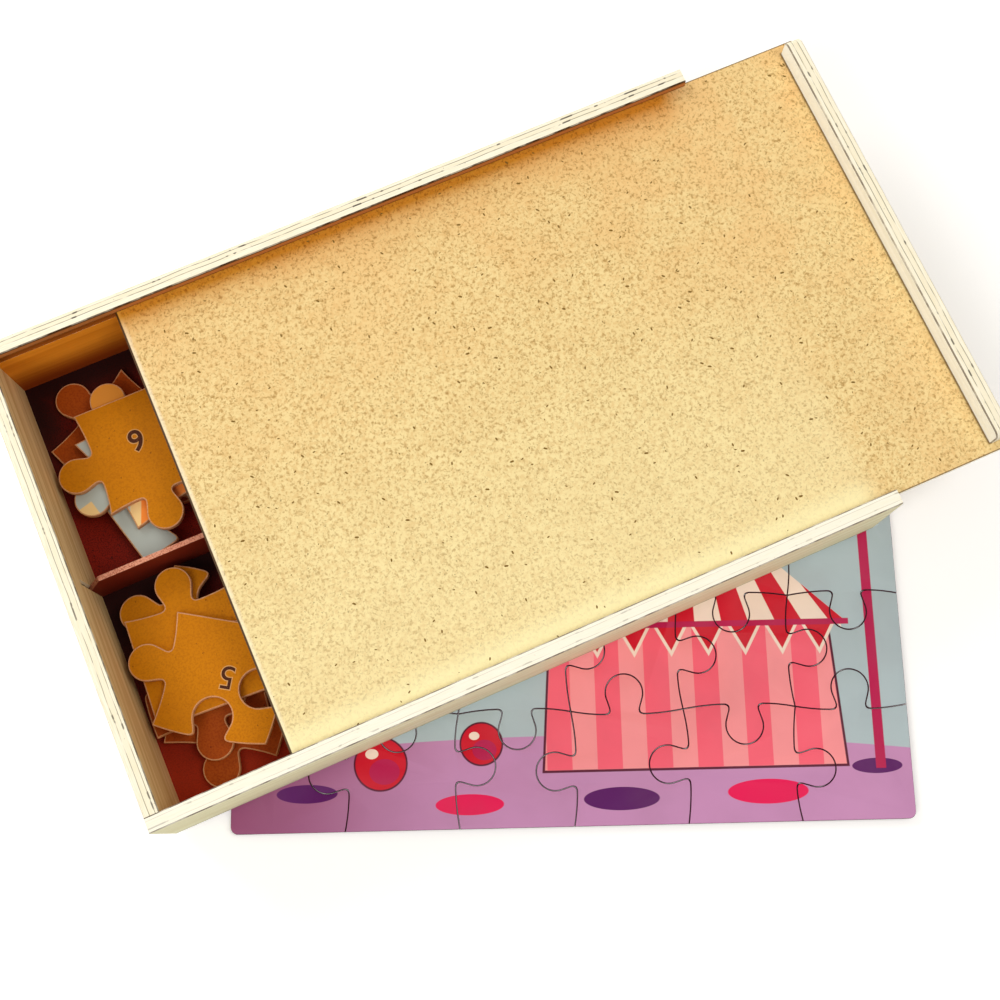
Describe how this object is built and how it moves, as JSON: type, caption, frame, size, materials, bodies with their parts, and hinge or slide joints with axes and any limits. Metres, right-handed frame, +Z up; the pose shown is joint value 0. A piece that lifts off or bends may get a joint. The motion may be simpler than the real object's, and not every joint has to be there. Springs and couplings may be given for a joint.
{
  "type": "wooden puzzle box with sliding lid",
  "caption": "Flat wooden box with a lid that slides in grooves, thin dividers, loose jigsaw pieces inside and one assembled jigsaw puzzle lying under it.",
  "frame": {"origin": "under the middle of the box's footprint, on the plane of the assembled puzzle's underside, which the whole set stands on", "axes": "+X along the box towards the end where the lid slides out, +Y across it towards the far side wall, +Z up"},
  "size_m": [0.356, 0.3104, 0.0525],
  "materials": {
    "wall_plywood": "pale sanded plywood with dark glue lines on its edges",
    "floor_board": "dark red-brown smooth hardboard",
    "lid_hardboard": "golden tan hardboard with fine dark fibre specks",
    "divider_board": "thin red-brown hardboard, paler on its sawn top edge",
    "puzzle_print": "satin printed paper on thin board",
    "piece_board": "amber-brown board backs with pale cut edges"
  },
  "bodies": {
    "assembled_puzzle": {"puzzle_row_1": "puzzle_print", "puzzle_row_2": "puzzle_print", "puzzle_row_3": "puzzle_print", "puzzle_row_4": "puzzle_print"},
    "box": {"far_side_wall": "wall_plywood", "near_side_wall": "wall_plywood", "left_end_wall": "wall_plywood", "right_end_wall": "wall_plywood", "bottom_panel": "floor_board", "long_divider": "divider_board", "cross_divider": "divider_board", "far_loose_piece_1": "piece_board", "far_loose_piece_2": "piece_board", "far_loose_piece_3": "piece_board", "far_loose_piece_4": "piece_board", "near_loose_piece_1": "piece_board", "near_loose_piece_2": "piece_board", "near_loose_piece_3": "piece_board", "near_loose_piece_4": "piece_board", "near_loose_piece_5": "piece_board"},
    "lid": {"lid_panel": "lid_hardboard", "lid_pull_strip": "wall_plywood"}
  },
  "joints": [
    {"name": "box_lift", "type": "slide", "parent": "assembled_puzzle", "child": "box", "axis": [0, 0, 1], "range_m": [0, 0.1]},
    {"name": "lid_slide", "type": "slide", "parent": "box", "child": "lid", "axis": [1, 0, 0], "range_m": [-0.05, 0.25]}
  ]
}
